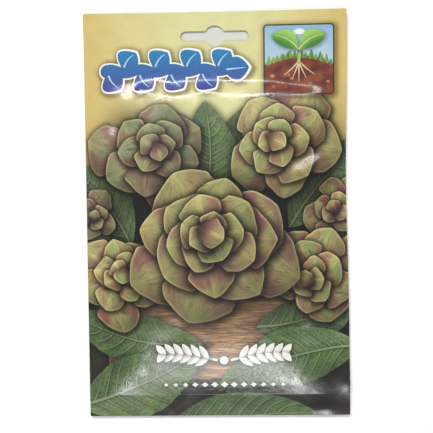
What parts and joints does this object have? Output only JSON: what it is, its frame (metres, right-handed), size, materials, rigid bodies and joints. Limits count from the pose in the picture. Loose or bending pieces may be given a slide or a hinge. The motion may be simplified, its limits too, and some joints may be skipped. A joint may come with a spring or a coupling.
{
  "type": "seed packet",
  "caption": "Flat heat-sealed paper seed packet with a euro hang slot in its header and loose artichoke seeds in its pillow-shaped pocket.",
  "frame": {"origin": "under the middle of the packet, on the surface that it lies on", "axes": "+X to the right across the printed front, +Y up the front towards the hang slot, +Z out of the front"},
  "size_m": [0.123, 0.19, 0.008],
  "materials": {
    "printed_front": "satin",
    "printed_back": "satin",
    "seed_coat": "matte"
  },
  "bodies": {
    "root": {"front_web": "printed_front", "back_web": "printed_back", "seed_01": "seed_coat", "seed_02": "seed_coat", "seed_03": "seed_coat", "seed_04": "seed_coat", "seed_05": "seed_coat", "seed_06": "seed_coat", "seed_07": "seed_coat", "seed_08": "seed_coat", "seed_09": "seed_coat", "seed_10": "seed_coat", "seed_11": "seed_coat", "seed_12": "seed_coat", "seed_13": "seed_coat", "seed_14": "seed_coat", "seed_15": "seed_coat", "seed_16": "seed_coat", "seed_17": "seed_coat", "seed_18": "seed_coat", "seed_19": "seed_coat", "seed_20": "seed_coat", "seed_21": "seed_coat", "seed_22": "seed_coat", "seed_23": "seed_coat", "seed_24": "seed_coat", "seed_25": "seed_coat", "seed_26": "seed_coat", "seed_27": "seed_coat", "seed_28": "seed_coat", "seed_29": "seed_coat", "seed_30": "seed_coat", "seed_31": "seed_coat", "seed_32": "seed_coat", "seed_33": "seed_coat", "seed_34": "seed_coat", "seed_35": "seed_coat", "seed_36": "seed_coat", "seed_37": "seed_coat", "seed_38": "seed_coat", "seed_39": "seed_coat", "seed_40": "seed_coat", "seed_41": "seed_coat", "seed_42": "seed_coat", "seed_43": "seed_coat", "seed_44": "seed_coat", "seed_45": "seed_coat", "seed_46": "seed_coat", "seed_47": "seed_coat", "seed_48": "seed_coat"}
  },
  "joints": []
}
